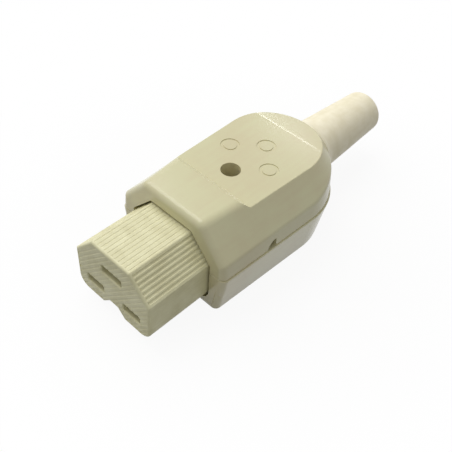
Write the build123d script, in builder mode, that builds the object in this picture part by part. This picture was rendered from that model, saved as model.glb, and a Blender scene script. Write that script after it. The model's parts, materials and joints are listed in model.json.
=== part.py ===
from build123d import *
import math
import os

# Rewireable connector for an appliance inlet, in millimetres.
# The origin is the centre of the mating face. +Y runs back to the cord, +Z is up.

# Nose of the contact carrier
nose_width = 26.0
nose_height = 19.5
nose_top_width = 13.3
nose_chamfer_drop = 6.85
nose_corner_radius = 3.4
nose_ridge_radius = 0.5
nose_edge_radius = 0.6
nose_reach = 18.75
key_width = 7.8
key_depth = 2.4
key_top_width = 2.8
key_radius = 0.8

# Grip ribs along the nose
rib_pitch = 1.2
top_groove_radius = 0.3
top_groove_depth = 0.1
chamfer_groove_radius = 0.5
chamfer_groove_depth = 0.24
rib_margin = 0.7
top_grooves = 11
chamfer_grooves = 7

# Slanting serrations of the mating face
serration_pitch = 1.15
serration_radius = 0.55
serration_depth = 0.1
serration_margin = 0.75
serrations_each_way = 14

# Contact slots and the chambers behind them
contact_spacing = 13.0
earth_offset = 8.0
contact_row_height = -4.85
slot_width = 6.0
earth_slot_width = 7.0
slot_height = 2.5
slot_radius = 0.4
slot_lead_in = 0.3
nose_front_wall = 3.0
chamber_width = 7.2
chamber_height = 4.0

# Flange of the carrier and the plate behind it
flange_lip = 1.4
flange_thickness = 3.4
cover_thickness = 2.0
tail_window_margin = 0.3

# Sheet-metal contacts
strip_thickness = 0.6
socket_width = 5.6
socket_rear_gap = 2.4
socket_neck_gap = 1.1
socket_mouth_gap = 2.6
socket_neck_from_mouth = 4.0
socket_front_room = 0.8
tail_width = 4.2

# Pillar terminals
terminal_width = 6.4
terminal_length = 6.5
terminal_base = 1.2
terminal_roof = 2.2
terminal_window_height = 3.0
terminal_window_margin = 0.1
terminal_front_gap = 0.9
terminal_screw_radius = 1.6
terminal_screw_proud = 0.8
screw_slot_width = 0.6
screw_slot_depth = 0.8
thread_clearance = 0.03

# Body: heights, half widths at the front, and radii of the round rear end
parting_height = 0.7
parting_ledge = 0.35
shoulder_height = 5.2
top_height = 12.45
base_height = -12.3
rear_centre = 52.0
parting_front_half = 18.1
parting_rear_radius = 19.0
band_draft = 5.0
top_front_half = 12.1
plateau_rear_inset = 5.7
plateau_setback = 2.6
base_front_half = 16.2
base_rear_inset = 1.7

# Raised crown over the nose, the ramp down to the plateau and the slope behind it
crown_height = 14.2
crown_front_half = 9.7
ramp_station = 30.9
step_station = 33.0
rear_slope_station = 61.9
rear_slope_angle = 5.0
rear_slope_rounding = 6.0

# Edges of the body
front_corner_radius = 1.7
crown_radius = 3.0
shoulder_radius = 2.0
plateau_edge_radius = 0.35
base_edge_radius = 1.4
parting_rounding = 0.25

# Walls, grooves and clearances inside the body
wall = 2.2
front_wall = 3.0
nose_gap = 0.6
seat_clearance = 0.1
passage_inset = 1.6
passage_wall = 1.9
wiring_space_rear = 60.5

# Pry notches in the sides of the upper half
notch_station = 34.3
notch_length = 3.0
notch_height = 2.5
notch_depth = 3.0

# Plain round marks on the plateau
mark_radius = 2.6
mark_disc_radius = 1.75
mark_depth = 0.18
mark_spacing = 13.6
mark_station = 46.3
middle_mark_station = 52.9

# Screw and nut that hold the halves together
screw_station = 39.35
screw_hole_radius = 2.62
screw_seat_height = 4.2
screw_head_radius = 2.45
screw_head_height = 2.0
screw_radius = 1.5
screw_length = 16.0
screw_clearance = 0.1
screw_boss_radius = 3.9
nut_across_flats = 5.5
nut_thickness = 2.4
nut_recess = 0.4

# Cord path, clamp and boot
cord_bore_radius = 4.4
clamp_station = 50.0
clamp_length = 6.0
clamp_thickness = 3.0
clamp_screw_offset = 10.2
clamp_boss_radius = 3.2
clamp_saddle_length = 4.0
clamp_screw_radius = 1.4
clamp_screw_length = 11.0
clamp_head_radius = 2.6
clamp_head_height = 1.9
boot_flange_station = 62.6
boot_flange_radius = 10.4
boot_flange_thickness = 3.0
boot_neck_radius = 9.0
boot_base_radius = 7.55
boot_flare_length = 5.0
boot_flare_sag = 0.3
boot_tip_radius = 6.25
boot_end = 99.9
boot_tip_rounding = 1.4

# Angles, and a margin, by which edges and faces are picked
along_angle = 25.0
level_angle = 45.0
pick_margin = 0.1

# Stations along the length that follow from the sizes above
half_width = nose_width / 2
half_height = nose_height / 2
half_top = nose_top_width / 2
earth_height = contact_row_height + earth_offset
flange_front = nose_reach + front_wall + seat_clearance
cover_front = flange_front + flange_thickness
cover_rear = cover_front + cover_thickness
groove_rear = cover_rear + seat_clearance
passage_rear = step_station + passage_wall
terminal_front = cover_rear + terminal_front_gap
body_end = rear_centre + parting_rear_radius + parting_ledge
band_inset = (shoulder_height - parting_height) * math.tan(math.radians(band_draft))
base_rear_radius = parting_rear_radius - base_rear_inset
top_rear_radius = parting_rear_radius - plateau_rear_inset
top_rear_centre = rear_centre + plateau_rear_inset - plateau_setback
flank_run = parting_front_half - band_inset - top_front_half
flank_slope = flank_run / (top_height - shoulder_height)
flank_spread = (top_height - parting_height) * flank_slope
far = body_end + nose_width
nearly_along = math.cos(math.radians(along_angle))
rather_level = math.sin(math.radians(level_angle))
cord_plane = Plane(origin=(0, 0, parting_height), x_dir=(0, 1, 0), z_dir=(1, 0, 0))
cord_axis = Axis((0, 0, parting_height), (0, 1, 0))


def across(station):
    """Plane across the length at a station: local x is X and local y is Z."""
    return Plane.XZ.offset(-station)


def carrier_section(station, grow=0.0):
    """Outline of the nose: chamfered above, rounded below, grown or shrunk all round."""
    with BuildSketch(across(station)) as section:
        with BuildLine():
            Polyline(
                (-half_width, -half_height),
                (half_width, -half_height),
                (half_width, half_height - nose_chamfer_drop),
                (half_top, half_height),
                (-half_top, half_height),
                (-half_width, half_height - nose_chamfer_drop),
                close=True,
            )
        make_face()
        fillet(section.vertices().group_by(Axis.Y)[0], nose_corner_radius)
        fillet(section.vertices().group_by(Axis.Y)[-1], nose_ridge_radius)
        if grow:
            offset(amount=grow, kind=Kind.INTERSECTION)
    return section.sketch


def side_turn(front, front_half, rear_radius, centre):
    """Angle, seen from above, at which a straight side meets the round rear end."""
    reach = math.hypot(front_half, centre - front)
    return math.atan2(front - centre, front_half) + math.acos(rear_radius / reach)


def side_half(station, front_half, rear_radius, centre=rear_centre):
    """Half width of the body's straight side at a station."""
    turn = side_turn(nose_reach, front_half, rear_radius, centre)
    return front_half - (station - nose_reach) * math.tan(turn)


def plan_outline(height, front_half, rear_radius, centre=rear_centre, front=nose_reach):
    """Body outline from above: straight sides, tangent to a round rear end."""
    start = side_half(front, front_half, rear_radius, centre)
    turn = side_turn(front, start, rear_radius, centre)
    side_end = (rear_radius * math.cos(turn), centre + rear_radius * math.sin(turn))
    with BuildSketch(Plane.XY.offset(height)) as outline:
        with BuildLine():
            right = Line((start, front), side_end)
            rear = ThreePointArc(right @ 1, (0, centre + rear_radius), (-side_end[0], side_end[1]))
            left = Line(rear @ 1, (-start, front))
            Line(left @ 1, right @ 0)
        make_face()
    return outline.sketch


def flank_half(station, height):
    """Half width of the inclined flank at a station and height."""
    foot_size = (top_front_half + flank_spread, top_rear_radius + flank_spread, top_rear_centre)
    turn = side_turn(nose_reach, *foot_size)
    return side_half(station, *foot_size) - (height - parting_height) * flank_slope / math.cos(turn)


def shoulder_point(station):
    """Half width and height at which the flank meets the drafted band below it."""
    turn = side_turn(nose_reach, parting_front_half, parting_rear_radius, rear_centre)
    band_half = side_half(station, parting_front_half, parting_rear_radius)
    band_rate = math.tan(math.radians(band_draft)) / math.cos(turn)
    flank_foot = flank_half(station, parting_height)
    flank_rate = (flank_foot - flank_half(station, top_height)) / (top_height - parting_height)
    rise = (flank_foot - band_half) / (flank_rate - band_rate)
    return band_half - rise * band_rate, parting_height + rise


def front_section(station, crown_half):
    """Section of the upper half through the crown, with its sloping flanks."""
    parting_half = side_half(station, parting_front_half, parting_rear_radius)
    shoulder_half, shoulder_level = shoulder_point(station)
    with BuildSketch(across(station)) as section:
        with BuildLine():
            Polyline(
                (-parting_half, parting_height),
                (parting_half, parting_height),
                (shoulder_half, shoulder_level),
                (crown_half, crown_height),
                (-crown_half, crown_height),
                (-shoulder_half, shoulder_level),
                close=True,
            )
        make_face()
    return section.sketch


# Wiring space shared by both halves
with BuildPart() as wiring_space:
    loft(
        sections=[
            plan_outline(base_height + wall, base_front_half - wall, base_rear_radius - wall),
            plan_outline(parting_height, parting_front_half - wall, parting_rear_radius - wall),
            plan_outline(
                shoulder_height,
                parting_front_half - band_inset - wall,
                parting_rear_radius - band_inset - wall,
            ),
            plan_outline(
                top_height - wall,
                top_front_half - wall,
                top_rear_radius - wall,
                top_rear_centre,
            ),
        ],
        ruled=True,
    )
    with Locations((0, (passage_rear + wiring_space_rear) / 2, 0)):
        Box(2 * far, wiring_space_rear - passage_rear, 2 * far, mode=Mode.INTERSECT)

# Opening for the nose, groove for its flange, passage for the terminals and seat of the boot
with BuildPart() as seats:
    extrude(carrier_section(nose_reach - wall, nose_gap), amount=-(front_wall + 2 * wall))
    extrude(
        carrier_section(flange_front - seat_clearance, flange_lip + seat_clearance),
        amount=-(groove_rear - flange_front + seat_clearance),
    )
    extrude(
        carrier_section(groove_rear - wall, -passage_inset),
        amount=-(passage_rear - groove_rear + 2 * wall),
    )
    with BuildSketch(cord_plane):
        with BuildLine():
            flange_gap = boot_flange_radius + seat_clearance
            neck_gap = boot_neck_radius + seat_clearance
            groove_start = boot_flange_station - seat_clearance
            groove_end = boot_flange_station + boot_flange_thickness + seat_clearance
            Polyline(
                (wiring_space_rear - wall, 0),
                (wiring_space_rear - wall, neck_gap),
                (groove_start, neck_gap),
                (groove_start, flange_gap),
                (groove_end, flange_gap),
                (groove_end, neck_gap),
                (far, neck_gap),
                (far, 0),
                close=True,
            )
        make_face()
    revolve(axis=cord_axis)

# Front section of the upper half: a soft-edged crown, ramped down to the plateau
with BuildPart() as front_block:
    loft(
        sections=[
            front_section(nose_reach, crown_front_half),
            front_section(step_station, flank_half(step_station, crown_height)),
        ],
        ruled=True,
    )
    long_edges = front_block.edges().filter_by(
        lambda edge: abs(edge.tangent_at().Y) > nearly_along
    )
    crown_edges = long_edges.group_by(Axis.Z)[-1]
    shoulder_edges = long_edges.group_by(Axis.Z)[1]
    fillet(crown_edges, crown_radius)
    fillet(shoulder_edges, shoulder_radius)
    front_edges = front_block.faces().sort_by(Axis.Y)[0].edges().sort_by(Axis.Z)[1:]
    fillet(front_edges, front_corner_radius)
    with BuildSketch(Plane.YZ):
        with BuildLine():
            Polyline(
                (ramp_station, crown_height),
                (step_station, top_height),
                (step_station, crown_height),
                close=True,
            )
        make_face()
    extrude(amount=far, both=True, mode=Mode.SUBTRACT)

# Rear section of the upper half: a drafted band, cut by inclined flanks up to the plateau
with BuildPart() as rear_block:
    block_height = top_height - parting_height
    band = plan_outline(parting_height, parting_front_half, parting_rear_radius)
    flanks = plan_outline(
        parting_height,
        top_front_half + flank_spread,
        top_rear_radius + flank_spread,
        top_rear_centre,
    )
    extrude(band, amount=block_height, taper=band_draft)
    extrude(
        flanks,
        amount=block_height,
        taper=math.degrees(math.atan(flank_slope)),
        mode=Mode.INTERSECT,
    )
    with Locations((0, step_station, 0)):
        Box(2 * far, far, 2 * far, align=(Align.CENTER, Align.MIN, Align.CENTER), mode=Mode.INTERSECT)
    shoulder_edges = rear_block.edges().filter_by(
        lambda edge: parting_height + shoulder_radius / 2 < edge.center().Z
        and edge.center().Z < shoulder_height + shoulder_radius
        and edge.center().Y > step_station + pick_margin
        and abs(edge.tangent_at().Z) < rather_level
    )
    fillet(shoulder_edges, shoulder_radius)
    slope_drop = (far - rear_slope_station) * math.tan(math.radians(rear_slope_angle))
    with BuildSketch(Plane.YZ):
        with BuildLine():
            crest = FilletPolyline(
                (step_station, top_height),
                (rear_slope_station, top_height),
                (far, top_height - slope_drop),
                radius=rear_slope_rounding,
            )
            Polyline(crest @ 1, (far, far), (step_station, far), crest @ 0)
        make_face()
    extrude(amount=far, both=True, mode=Mode.SUBTRACT)
    top_faces = rear_block.faces().filter_by(lambda face: face.normal_at().Z > nearly_along)
    plateau_edges = top_faces.edges().filter_by(
        lambda edge: abs(edge.tangent_at().X) < nearly_along
    )
    fillet(plateau_edges, plateau_edge_radius)

# Upper half of the body
with BuildPart() as upper_housing:
    add(front_block.part)
    add(rear_block.part)
    fillet(upper_housing.faces().sort_by(Axis.Z)[0].edges(), parting_rounding)
    add(wiring_space.part, mode=Mode.SUBTRACT)
    with Locations((0, screw_station, parting_height)):
        boss_height = top_height - wall / 2 - parting_height
        Cylinder(screw_boss_radius, boss_height, align=(Align.CENTER, Align.CENTER, Align.MIN))
    add(seats.part, mode=Mode.SUBTRACT)
    with Locations((0, screw_station, top_height)):
        CounterBoreHole(
            radius=screw_radius + screw_clearance,
            counter_bore_radius=screw_hole_radius,
            counter_bore_depth=top_height - screw_seat_height,
        )
    marks = [
        (-mark_spacing / 2, mark_station),
        (0, middle_mark_station),
        (mark_spacing / 2, mark_station),
    ]
    with BuildSketch(Plane.XY.offset(top_height)):
        with Locations(*marks):
            Circle(mark_radius)
            Circle(mark_disc_radius, mode=Mode.SUBTRACT)
    extrude(amount=-mark_depth, mode=Mode.SUBTRACT)
    notch_top = parting_height + notch_height
    notch_rear = notch_station + notch_length
    notch_floor = side_half(notch_station, parting_front_half, parting_rear_radius) - notch_depth
    for start in (notch_floor, -far):
        with BuildSketch(Plane.YZ.offset(start)):
            with BuildLine():
                foot = Line((notch_station, parting_height), (notch_rear, parting_height))
                rear_side = Line(foot @ 1, (notch_rear, notch_top))
                RadiusArc(rear_side @ 1, foot @ 0, -notch_length)
            make_face()
        extrude(amount=far - notch_floor, mode=Mode.SUBTRACT)
upper_housing.part.label = "upper_housing"

# Lower half of the body
with BuildPart() as lower_housing:
    loft(
        sections=[
            plan_outline(base_height, base_front_half, base_rear_radius),
            plan_outline(
                parting_height,
                parting_front_half + parting_ledge,
                parting_rear_radius + parting_ledge,
            ),
        ],
        ruled=True,
    )
    front_corners = lower_housing.edges().filter_by(
        lambda edge: abs(edge.tangent_at().Z) > nearly_along
        and edge.center().Y < step_station
    )
    fillet(front_corners, front_corner_radius)
    fillet(lower_housing.faces().sort_by(Axis.Z)[-1].edges(), parting_rounding)
    fillet(lower_housing.faces().sort_by(Axis.Z)[0].edges(), base_edge_radius)
    add(wiring_space.part, mode=Mode.SUBTRACT)
    boss_foot = base_height + wall / 2
    boss_height = parting_height - boss_foot
    with Locations((0, screw_station, boss_foot)):
        Cylinder(screw_boss_radius, boss_height, align=(Align.CENTER, Align.CENTER, Align.MIN))
    with Locations((0, clamp_station, boss_foot)):
        with GridLocations(2 * clamp_screw_offset, 0, 2, 1):
            Cylinder(clamp_boss_radius, boss_height, align=(Align.CENTER, Align.CENTER, Align.MIN))
        Box(
            2 * clamp_screw_offset,
            clamp_saddle_length,
            boss_height,
            align=(Align.CENTER, Align.CENTER, Align.MIN),
        )
    with Locations(Location((0, clamp_station, parting_height), (90, 0, 0))):
        Cylinder(cord_bore_radius, 2 * clamp_length, mode=Mode.SUBTRACT)
    add(seats.part, mode=Mode.SUBTRACT)
    with Locations((0, screw_station, parting_height)):
        Hole(screw_radius + screw_clearance)
    with BuildSketch(Plane.XY.offset(base_height)):
        with Locations((0, screw_station)):
            RegularPolygon(nut_across_flats / 2 + screw_clearance, 6, major_radius=False)
    extrude(amount=nut_recess + nut_thickness, mode=Mode.SUBTRACT)
    with Locations((0, clamp_station, parting_height)):
        with GridLocations(2 * clamp_screw_offset, 0, 2, 1):
            Hole(clamp_screw_radius + thread_clearance, depth=clamp_screw_length)
lower_housing.part.label = "lower_housing"

# Contact carrier: ribbed nose, three slots and the chambers behind them
contact_places = {
    "line": (-contact_spacing / 2, contact_row_height),
    "neutral": (contact_spacing / 2, contact_row_height),
    "earth": (0, earth_height),
}
chamfer_run = half_width - half_top
chamfer_length = math.hypot(chamfer_run, nose_chamfer_drop)
top_lift = top_groove_radius - top_groove_depth
top_places = []
for index in range(top_grooves):
    top_places.append(((index - (top_grooves - 1) / 2) * rib_pitch, half_height + top_lift))
chamfer_lift = chamfer_groove_radius - chamfer_groove_depth
chamfer_places = []
for index in range(chamfer_grooves):
    share = 0.5 + (index - (chamfer_grooves - 1) / 2) * rib_pitch / chamfer_length
    x = half_top + share * chamfer_run + chamfer_lift * nose_chamfer_drop / chamfer_length
    z = half_height - share * nose_chamfer_drop + chamfer_lift * chamfer_run / chamfer_length
    chamfer_places += [(x, z), (-x, z)]

# Rows of shallow grooves that slant across the mating face, clear of its rim
slant_plane = Plane(origin=(0, 0, 0), x_dir=(1, 0, -1), z_dir=(1, 0, 1))
with BuildPart() as serrations:
    with BuildSketch(slant_plane):
        for index in range(serrations_each_way):
            offset_across = (index + 0.5) * serration_pitch
            with Locations((-offset_across, serration_depth - serration_radius)):
                Circle(serration_radius)
            with Locations((offset_across, serration_depth - serration_radius)):
                Circle(serration_radius)
    extrude(amount=nose_width, both=True)
    extrude(carrier_section(0, -serration_margin), amount=-serration_radius, mode=Mode.INTERSECT)

with BuildPart() as contact_carrier:
    extrude(carrier_section(0), amount=-cover_front)
    with BuildSketch(across(0)) as key:
        with BuildLine():
            Polyline(
                (-key_width / 2, -half_height),
                (-key_top_width / 2, key_depth - half_height),
                (key_top_width / 2, key_depth - half_height),
                (key_width / 2, -half_height),
                close=True,
            )
        make_face()
        fillet(key.vertices().group_by(Axis.Y)[-1], key_radius)
    extrude(amount=-(nose_reach + front_wall / 2), mode=Mode.SUBTRACT)
    fillet(contact_carrier.faces().sort_by(Axis.Y)[0].edges(), nose_edge_radius)
    with BuildSketch(across(rib_margin)):
        with Locations(*top_places):
            Circle(top_groove_radius)
        with Locations(*chamfer_places):
            Circle(chamfer_groove_radius)
    extrude(amount=-(nose_reach + front_wall / 2 - rib_margin), mode=Mode.SUBTRACT)
    extrude(carrier_section(flange_front, flange_lip), amount=-flange_thickness)
    with BuildSketch(across(nose_front_wall)):
        with Locations(*contact_places.values()):
            Rectangle(chamber_width, chamber_height)
    extrude(amount=-(cover_front - nose_front_wall), mode=Mode.SUBTRACT)
    with BuildSketch(across(0)):
        with Locations(contact_places["line"], contact_places["neutral"]):
            RectangleRounded(slot_width, slot_height, slot_radius)
        with Locations(contact_places["earth"]):
            RectangleRounded(earth_slot_width, slot_height, slot_radius)
    extrude(amount=-nose_front_wall, mode=Mode.SUBTRACT)
    mating_face = contact_carrier.faces().sort_by(Axis.Y)[0]
    chamfer(mating_face.inner_wires().edges(), slot_lead_in)
    add(serrations.part, mode=Mode.SUBTRACT)
contact_carrier.part.label = "contact_carrier"

# Plate behind the flange that traps the contacts, with a window for each tail
socket_rear_half = (socket_rear_gap + strip_thickness) / 2
with BuildPart() as carrier_rear_cover:
    extrude(carrier_section(cover_front, flange_lip), amount=-cover_thickness)
    with BuildSketch(across(cover_front)):
        with Locations((0, -socket_rear_half)):
            with Locations(*contact_places.values()):
                Rectangle(tail_width + 2 * tail_window_margin, strip_thickness + 2 * tail_window_margin)
    extrude(amount=-cover_thickness, mode=Mode.SUBTRACT)
carrier_rear_cover.part.label = "carrier_rear_cover"


def make_contact(x, height):
    """Folded strip: two leaves that pinch a blade, a rear web and a tail."""
    rear = cover_front - strip_thickness / 2
    mouth = nose_front_wall + socket_front_room
    neck = mouth + socket_neck_from_mouth
    neck_half = (socket_neck_gap + strip_thickness) / 2
    mouth_half = (socket_mouth_gap + strip_thickness) / 2
    tail_length = terminal_front + terminal_length - rear
    with BuildPart() as contact:
        with BuildSketch(Plane.YZ.offset(x)):
            with BuildLine():
                FilletPolyline(
                    (mouth, height + mouth_half),
                    (neck, height + neck_half),
                    (rear, height + socket_rear_half),
                    (rear, height - socket_rear_half),
                    (neck, height - neck_half),
                    (mouth, height - mouth_half),
                    radius=strip_thickness,
                )
            trace(line_width=strip_thickness)
        extrude(amount=socket_width / 2, both=True)
        with Locations((x, rear, height - socket_rear_half)):
            Box(tail_width, tail_length, strip_thickness, align=(Align.CENTER, Align.MIN, Align.CENTER))
    return contact.part


def make_terminal(x, height):
    """Pillar block round the tail of a contact, with a threaded hole above its window."""
    window_floor = height - socket_rear_half - strip_thickness / 2
    block_height = terminal_base + terminal_window_height + terminal_roof
    middle = terminal_front + terminal_length / 2
    with BuildPart() as terminal:
        with Locations((x, middle, window_floor - terminal_base)):
            Box(
                terminal_width,
                terminal_length,
                block_height,
                align=(Align.CENTER, Align.CENTER, Align.MIN),
            )
        with Locations((x, middle, window_floor)):
            Box(
                tail_width + 2 * terminal_window_margin,
                terminal_length,
                terminal_window_height,
                align=(Align.CENTER, Align.CENTER, Align.MIN),
                mode=Mode.SUBTRACT,
            )
        with Locations((x, middle, window_floor - terminal_base + block_height)):
            Hole(terminal_screw_radius + thread_clearance, depth=terminal_roof)
    return terminal.part


def make_screw(head_radius, head_height, radius, length, seat):
    """Slotted screw that hangs down from the seat of its head, a place (x, y, z)."""
    x, y, z = seat
    with BuildPart() as screw:
        with Locations((x, y, z)):
            Cylinder(head_radius, head_height, align=(Align.CENTER, Align.CENTER, Align.MIN))
            Cylinder(radius, length, align=(Align.CENTER, Align.CENTER, Align.MAX))
        with Locations((x, y, z + head_height)):
            Box(
                3 * head_radius,
                screw_slot_width,
                2 * screw_slot_depth,
                mode=Mode.SUBTRACT,
            )
    return screw.part


pieces = [upper_housing.part, lower_housing.part, contact_carrier.part, carrier_rear_cover.part]

for pole, (x, height) in contact_places.items():
    contact = make_contact(x, height)
    contact.label = pole + "_contact"
    terminal = make_terminal(x, height)
    terminal.label = pole + "_terminal"
    roof_top = height - socket_rear_half - strip_thickness / 2 + terminal_window_height + terminal_roof
    seat = (x, terminal_front + terminal_length / 2, roof_top)
    screw = make_screw(
        terminal_screw_radius,
        terminal_screw_proud,
        terminal_screw_radius,
        terminal_roof,
        seat,
    )
    screw.label = pole + "_terminal_screw"
    pieces += [contact, terminal, screw]

# Screw and captive nut of the body
housing_screw = make_screw(
    screw_head_radius,
    screw_head_height,
    screw_radius,
    screw_length,
    (0, screw_station, screw_seat_height),
)
housing_screw.label = "housing_screw"
with BuildPart() as housing_nut:
    with BuildSketch(Plane.XY.offset(base_height + nut_recess)):
        with Locations((0, screw_station)):
            RegularPolygon(nut_across_flats / 2, 6, major_radius=False)
            Circle(screw_radius + thread_clearance, mode=Mode.SUBTRACT)
    extrude(amount=nut_thickness)
housing_nut.part.label = "housing_nut"

# Saddle bar over the cord, and its two screws
with BuildPart() as cord_clamp:
    clamp_half = clamp_screw_offset + clamp_boss_radius
    with BuildSketch(across(clamp_station - clamp_length / 2)):
        with Locations((0, parting_height)):
            Circle(cord_bore_radius + clamp_thickness)
            Rectangle(2 * clamp_half, 2 * clamp_thickness)
            Circle(cord_bore_radius, mode=Mode.SUBTRACT)
            Rectangle(
                2 * clamp_half,
                2 * clamp_half,
                align=(Align.CENTER, Align.MAX),
                mode=Mode.SUBTRACT,
            )
    extrude(amount=-clamp_length)
    with Locations((0, clamp_station, parting_height + clamp_thickness)):
        with GridLocations(2 * clamp_screw_offset, 0, 2, 1):
            Hole(clamp_screw_radius + screw_clearance)
cord_clamp.part.label = "cord_clamp"
pieces += [housing_screw, housing_nut.part, cord_clamp.part]

for side, x in {"left": -clamp_screw_offset, "right": clamp_screw_offset}.items():
    seat = (x, clamp_station, parting_height + clamp_thickness)
    screw = make_screw(
        clamp_head_radius,
        clamp_head_height,
        clamp_screw_radius,
        clamp_screw_length,
        seat,
    )
    screw.label = side + "_clamp_screw"
    pieces.append(screw)

# Flexible sleeve round the cord, held by its flange
with BuildPart() as cord_boot:
    with BuildSketch(cord_plane) as sleeve:
        with BuildLine():
            flange_end = boot_flange_station + boot_flange_thickness
            flare_end = body_end + boot_flare_length
            flare_middle = (
                body_end + boot_flare_length / 2,
                (boot_neck_radius + boot_base_radius) / 2 - boot_flare_sag,
            )
            neck = Polyline(
                (boot_flange_station, cord_bore_radius),
                (boot_flange_station, boot_flange_radius),
                (flange_end, boot_flange_radius),
                (flange_end, boot_neck_radius),
                (body_end, boot_neck_radius),
            )
            flare = ThreePointArc(neck @ 1, flare_middle, (flare_end, boot_base_radius))
            Polyline(
                flare @ 1,
                (boot_end, boot_tip_radius),
                (boot_end, cord_bore_radius),
                neck @ 0,
            )
        make_face()
        fillet(sleeve.vertices().group_by(Axis.X)[-1].sort_by(Axis.Y)[-1:], boot_tip_rounding)
    revolve(axis=cord_axis)
cord_boot.part.label = "cord_boot"
pieces.append(cord_boot.part)

os.makedirs("parts", exist_ok=True)
for piece in pieces:
    export_step(piece, "parts/" + piece.label + ".step")
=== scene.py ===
import json
import math

import bpy
from mathutils import Matrix, Vector


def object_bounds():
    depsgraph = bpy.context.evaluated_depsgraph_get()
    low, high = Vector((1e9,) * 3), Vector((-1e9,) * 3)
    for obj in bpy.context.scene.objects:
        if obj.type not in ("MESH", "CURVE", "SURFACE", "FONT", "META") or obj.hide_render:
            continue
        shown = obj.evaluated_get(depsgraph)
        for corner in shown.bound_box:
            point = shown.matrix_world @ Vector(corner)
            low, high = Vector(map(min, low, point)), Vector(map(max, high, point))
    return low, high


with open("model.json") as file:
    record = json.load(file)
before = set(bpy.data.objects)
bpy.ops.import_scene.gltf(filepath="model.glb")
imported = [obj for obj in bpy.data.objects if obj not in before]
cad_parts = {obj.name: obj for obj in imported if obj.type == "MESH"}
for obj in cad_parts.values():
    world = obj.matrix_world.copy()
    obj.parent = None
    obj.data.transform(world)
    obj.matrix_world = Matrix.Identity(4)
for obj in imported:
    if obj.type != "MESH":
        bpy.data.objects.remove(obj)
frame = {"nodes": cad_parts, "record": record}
nodes = frame["nodes"]
cad_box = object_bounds()

MM = 0.001


# Camera, fitted to the photograph: square frame, no shift

CAMERA_EYE_MM = (84.9, -59.7, 127.26)
CAMERA_AZIMUTH = 40.62
CAMERA_ELEVATION = 46.04
CAMERA_ROLL = -4.52
FRAME_PIXELS = 452
FOCAL_PIXELS = 690.5
SENSOR_MM = 36.0


def camera_axes():
    """Right, up and back directions of the camera."""
    azimuth = math.radians(CAMERA_AZIMUTH)
    elevation = math.radians(CAMERA_ELEVATION)
    back = Vector(
        (
            math.sin(azimuth) * math.cos(elevation),
            -math.cos(azimuth) * math.cos(elevation),
            math.sin(elevation),
        )
    )
    right = Vector((0, 0, 1)).cross(back).normalized()
    up = back.cross(right)
    turn = Matrix.Rotation(math.radians(-CAMERA_ROLL), 3, back)
    return turn @ right, turn @ up, back


def place_camera():
    """Camera at the photograph's viewing angle."""
    data = bpy.data.cameras.new("camera")
    data.sensor_fit = "HORIZONTAL"
    data.sensor_width = SENSOR_MM
    data.lens = SENSOR_MM * FOCAL_PIXELS / FRAME_PIXELS
    data.clip_start = 0.01
    camera = bpy.data.objects.new("camera", data)
    bpy.context.scene.collection.objects.link(camera)
    right, up, back = camera_axes()
    turn = Matrix((right, up, back)).transposed().to_4x4()
    camera.matrix_world = Matrix.Translation(Vector(CAMERA_EYE_MM) * MM) @ turn
    bpy.context.scene.camera = camera


# Colours and nodes


def srgb(code):
    """Linear colour of an sRGB hex value."""
    channels = [int(code[i : i + 2], 16) / 255 for i in (1, 3, 5)]
    return [c / 12.92 if c <= 0.04045 else ((c + 0.055) / 1.055) ** 2.4 for c in channels] + [1.0]


def add(tree, kind, inputs=None, **settings):
    """New node in a tree: settings are its own values, inputs are numbers, colours or sockets."""
    node = tree.nodes.new(kind)
    for name, value in settings.items():
        setattr(node, name, value)
    for name, value in (inputs or {}).items():
        socket = node.inputs[name]
        if isinstance(value, bpy.types.NodeSocket):
            tree.links.new(value, socket)
        else:
            socket.default_value = value
    return node


def per_mm(size):
    """Texture scale whose cells are about this many millimetres across."""
    return 1 / (size * MM)


def new_material(name):
    """Empty node material and its tree."""
    material = bpy.data.materials.new(name)
    material.use_nodes = True
    material.node_tree.nodes.clear()
    return material, material.node_tree


def finish_material(tree, shader):
    """The shader becomes the surface."""
    add(tree, "ShaderNodeOutputMaterial", {"Surface": shader.outputs[0]})


# Materials

# Marks of drawing or rolling: the pattern's scale along Y, small so that they are drawn out that way
DRAG_STRETCH = 0.08
# Weight of the marks beside the clouds in the plastics
DRAG_SHARE = 0.35
# Noise values between which the mottle goes from its deep to its pale colour
MOTTLE_RANGE = (0.35 + DRAG_SHARE / 2, 0.65 + DRAG_SHARE / 2)
# Urea and vinyl both bend light about this much; worn skins shine a little less
PLASTIC_IOR = 1.5
PLASTIC_SPECULAR = 0.4
# Tool lines on the metal are this deep
STREAK_DEPTH_MM = 0.004


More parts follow.
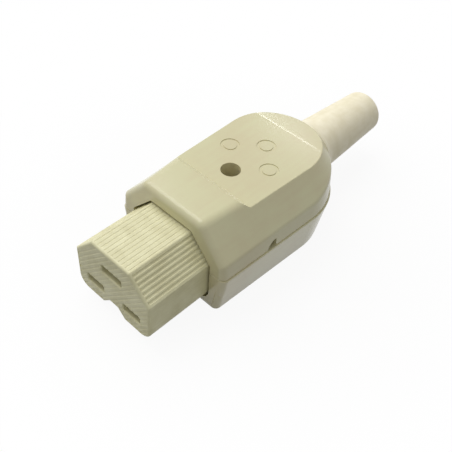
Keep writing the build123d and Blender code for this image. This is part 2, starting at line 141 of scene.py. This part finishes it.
def moulded_plastic(name, pale, deep, cloud_mm, drag_mm, grain_mm, grain_depth_mm, rough):
    """Filled plastic as it leaves the mould: clouds of filler, marks drawn along the pull, a skin.

    The skin's real grain is finer than a pixel, so it is drawn coarser, to show in the gloss.
    """
    material, tree = new_material(name)
    place = add(tree, "ShaderNodeTexCoord").outputs["Object"]
    clouds = add(
        tree,
        "ShaderNodeTexNoise",
        {"Vector": place, "Scale": per_mm(cloud_mm), "Detail": 6.0, "Roughness": 0.6},
    )
    along_pull = add(tree, "ShaderNodeMapping", {"Vector": place, "Scale": (1.0, DRAG_STRETCH, 1.0)})
    drag = add(
        tree,
        "ShaderNodeTexNoise",
        {"Vector": along_pull.outputs["Vector"], "Scale": per_mm(drag_mm), "Detail": 3.0},
    )
    grain = add(
        tree,
        "ShaderNodeTexNoise",
        {"Vector": place, "Scale": per_mm(grain_mm), "Detail": 2.0},
    )
    mottle = add(
        tree,
        "ShaderNodeMath",
        {0: drag.outputs["Fac"], 1: DRAG_SHARE, 2: clouds.outputs["Fac"]},
        operation="MULTIPLY_ADD",
    )
    share = add(
        tree,
        "ShaderNodeMapRange",
        {"Value": mottle.outputs[0], "From Min": MOTTLE_RANGE[0], "From Max": MOTTLE_RANGE[1]},
    )
    colour = add(
        tree,
        "ShaderNodeMix",
        {0: share.outputs["Result"], 6: srgb(deep), 7: srgb(pale)},
        data_type="RGBA",
    )
    roughness = add(
        tree,
        "ShaderNodeMapRange",
        {"Value": share.outputs["Result"], "To Min": rough[1], "To Max": rough[0]},
    )
    skin = add(
        tree,
        "ShaderNodeBump",
        {"Height": grain.outputs["Fac"], "Strength": 0.5, "Distance": grain_depth_mm * MM},
    )
    shader = add(
        tree,
        "ShaderNodeBsdfPrincipled",
        {
            "Base Color": colour.outputs[2],
            "Roughness": roughness.outputs["Result"],
            "Normal": skin.outputs["Normal"],
            "IOR": PLASTIC_IOR,
            "Specular IOR Level": PLASTIC_SPECULAR,
        },
    )
    finish_material(tree, shader)
    return material


def formed_metal(name, pale, deep, streak_mm, rough):
    """Rolled or turned metal: fine streaks along the length."""
    material, tree = new_material(name)
    place = add(tree, "ShaderNodeTexCoord").outputs["Object"]
    along = add(tree, "ShaderNodeMapping", {"Vector": place, "Scale": (1.0, DRAG_STRETCH, 1.0)})
    streaks = add(
        tree,
        "ShaderNodeTexNoise",
        {"Vector": along.outputs["Vector"], "Scale": per_mm(streak_mm), "Detail": 3.0},
    )
    colour = add(
        tree,
        "ShaderNodeMix",
        {0: streaks.outputs["Fac"], 6: srgb(deep), 7: srgb(pale)},
        data_type="RGBA",
    )
    roughness = add(
        tree,
        "ShaderNodeMapRange",
        {"Value": streaks.outputs["Fac"], "To Min": rough[0], "To Max": rough[1]},
    )
    tool_lines = add(
        tree,
        "ShaderNodeBump",
        {"Height": streaks.outputs["Fac"], "Strength": 0.5, "Distance": STREAK_DEPTH_MM * MM},
    )
    shader = add(
        tree,
        "ShaderNodeBsdfPrincipled",
        {
            "Base Color": colour.outputs[2],
            "Metallic": 1.0,
            "Roughness": roughness.outputs["Result"],
            "Normal": tool_lines.outputs["Normal"],
        },
    )
    finish_material(tree, shader)
    return material


def dress_nodes():
    """Each CAD node gets the finish of its material slot."""
    finishes = {
        # Cream urea resin, compression moulded: a glossy skin over faint warm and green clouds of filler
        "housing": moulded_plastic(
            "compression_moulded_cream_urea",
            pale="#d7d3ab",
            deep="#d3caa4",
            cloud_mm=16.0,
            drag_mm=1.4,
            grain_mm=0.35,
            grain_depth_mm=0.002,
            rough=(0.16, 0.21),
        ),
        # Ivory urea resin, moulded in a drawn tool: drier and more matt, streaked along the nose
        "carrier": moulded_plastic(
            "drawn_moulded_ivory_urea",
            pale="#e8e4bc",
            deep="#dcd7ae",
            cloud_mm=5.0,
            drag_mm=0.5,
            grain_mm=0.3,
            grain_depth_mm=0.02,
            rough=(0.42, 0.55),
        ),
        # Plasticised vinyl, injection moulded: pale and slightly blotched, with a dull sheen
        "boot": moulded_plastic(
            "moulded_soft_ivory_vinyl",
            pale="#fbf3d8",
            deep="#f2e9ca",
            cloud_mm=3.0,
            drag_mm=1.2,
            grain_mm=0.4,
            grain_depth_mm=0.01,
            rough=(0.45, 0.55),
        ),
        # Brass strip, cold rolled and bent: bright yellow with fine streaks along the roll
        "contact": formed_metal("rolled_brass_strip", "#d8b070", "#c49a58", 0.2, (0.22, 0.35)),
        # Brass bar, sawn and milled: a little redder and duller, with coarser cutter lines
        "terminal": formed_metal("milled_brass_bar", "#d2a862", "#b98e4a", 0.3, (0.25, 0.4)),
        # Steel, headed and zinc plated: cool grey with a soft metallic sheen
        "fastener": formed_metal("zinc_plated_steel", "#b9bcbc", "#a3a6a6", 0.2, (0.28, 0.42)),
    }
    for part in frame["record"]["subparts"]:
        node = nodes[part["node"]]
        node.data.materials.clear()
        node.data.materials.append(finishes[part["material_slot"]])


# Stage: pale floor, white surround and soft light

FLOOR_SPAN = 6.0
# Hair's breadth below the underside, so that the two don't share a plane
FLOOR_DROP = 0.00002
# Share of plain white in the paper by the object, which grows to all white over this reach
FLOOR_WHITE = 0.92
FLOOR_MIDDLE = (0.0, 0.05, cad_box[0][2])
SHADOW_REACH_MM = (35, 90)
# Strength of the surround as a light
AMBIENT = 0.43


def seen_or_reflected(tree):
    """One where a ray comes from the camera, a reflection or a clear piece."""
    path = add(tree, "ShaderNodeLightPath").outputs
    first = add(
        tree,
        "ShaderNodeMath",
        {0: path["Is Camera Ray"], 1: path["Is Glossy Ray"]},
        operation="MAXIMUM",
    )
    both = add(
        tree,
        "ShaderNodeMath",
        {0: first.outputs[0], 1: path["Is Transmission Ray"]},
        operation="MAXIMUM",
    )
    return both.outputs[0]


def lay_floor():
    """Paper that keeps the shadow by the object, is white further out and throws little light back."""
    material, tree = new_material("white_seamless_paper")
    place = add(tree, "ShaderNodeTexCoord").outputs["Object"]
    from_middle = add(
        tree,
        "ShaderNodeVectorMath",
        {0: place, 1: FLOOR_MIDDLE},
        operation="DISTANCE",
    )
    white_share = add(
        tree,
        "ShaderNodeMapRange",
        {
            "Value": from_middle.outputs["Value"],
            "From Min": SHADOW_REACH_MM[0] * MM,
            "From Max": SHADOW_REACH_MM[1] * MM,
            "To Min": FLOOR_WHITE,
            "To Max": 1.0,
        },
        interpolation_type="SMOOTHSTEP",
    )
    dull = add(tree, "ShaderNodeBsdfDiffuse", {"Color": srgb("#9a9a97")})
    matt = add(tree, "ShaderNodeBsdfDiffuse", {"Color": srgb("#f6f6f6")})
    glow = add(tree, "ShaderNodeEmission", {"Color": (1, 1, 1, 1), "Strength": 1.0})
    seen = add(
        tree,
        "ShaderNodeMixShader",
        {"Fac": white_share.outputs["Result"], 1: matt.outputs[0], 2: glow.outputs[0]},
    )
    paper = add(
        tree,
        "ShaderNodeMixShader",
        {"Fac": seen_or_reflected(tree), 1: dull.outputs[0], 2: seen.outputs[0]},
    )
    finish_material(tree, paper)
    half = FLOOR_SPAN / 2
    level = cad_box[0][2] - FLOOR_DROP
    mesh = bpy.data.meshes.new("floor")
    corners = [(-half, -half, level), (half, -half, level), (half, half, level), (-half, half, level)]
    mesh.from_pydata(corners, [], [(0, 1, 2, 3)])
    mesh.materials.append(material)
    floor = bpy.data.objects.new("floor", mesh)
    bpy.context.scene.collection.objects.link(floor)


def light_world():
    """White to the eye and in reflections, a soft grey as a light."""
    world = bpy.data.worlds.new("white_surround")
    bpy.context.scene.world = world
    world.use_nodes = True
    tree = world.node_tree
    tree.nodes.clear()
    seen = seen_or_reflected(tree)
    strength = add(
        tree,
        "ShaderNodeMapRange",
        {"Value": seen, "To Min": AMBIENT, "To Max": 1.0},
    )
    surround = add(
        tree,
        "ShaderNodeBackground",
        {"Color": (1, 1, 1, 1), "Strength": strength.outputs["Result"]},
    )
    add(tree, "ShaderNodeOutputWorld", {"Surface": surround.outputs[0]})


def hang_light(name, place_mm, aim_mm, size_mm, watts):
    """White area lamp at a place, turned to a point."""
    data = bpy.data.lights.new(name, "AREA")
    data.shape = "RECTANGLE"
    data.size = size_mm[0] * MM
    data.size_y = size_mm[1] * MM
    data.energy = watts
    lamp = bpy.data.objects.new(name, data)
    bpy.context.scene.collection.objects.link(lamp)
    place = Vector(place_mm) * MM
    lamp.location = place
    lamp.rotation_euler = (place - Vector(aim_mm) * MM).to_track_quat("Z", "Y").to_euler()


place_camera()
dress_nodes()
lay_floor()
light_world()
# The softbox gives the tops their tone, and the two strips glint on the crest of the rear slope
hang_light("overhead_softbox", (-290, 70, 475), (0, 45, 0), (480, 480), 2.12)
hang_light("rear_strip_near", (-249, 482, 344), (0, 62, 12), (36, 60), 0.08)
hang_light("rear_strip_far", (-298, 482, 344), (0, 62, 12), (36, 60), 0.08)
bpy.context.scene.view_settings.view_transform = "Standard"
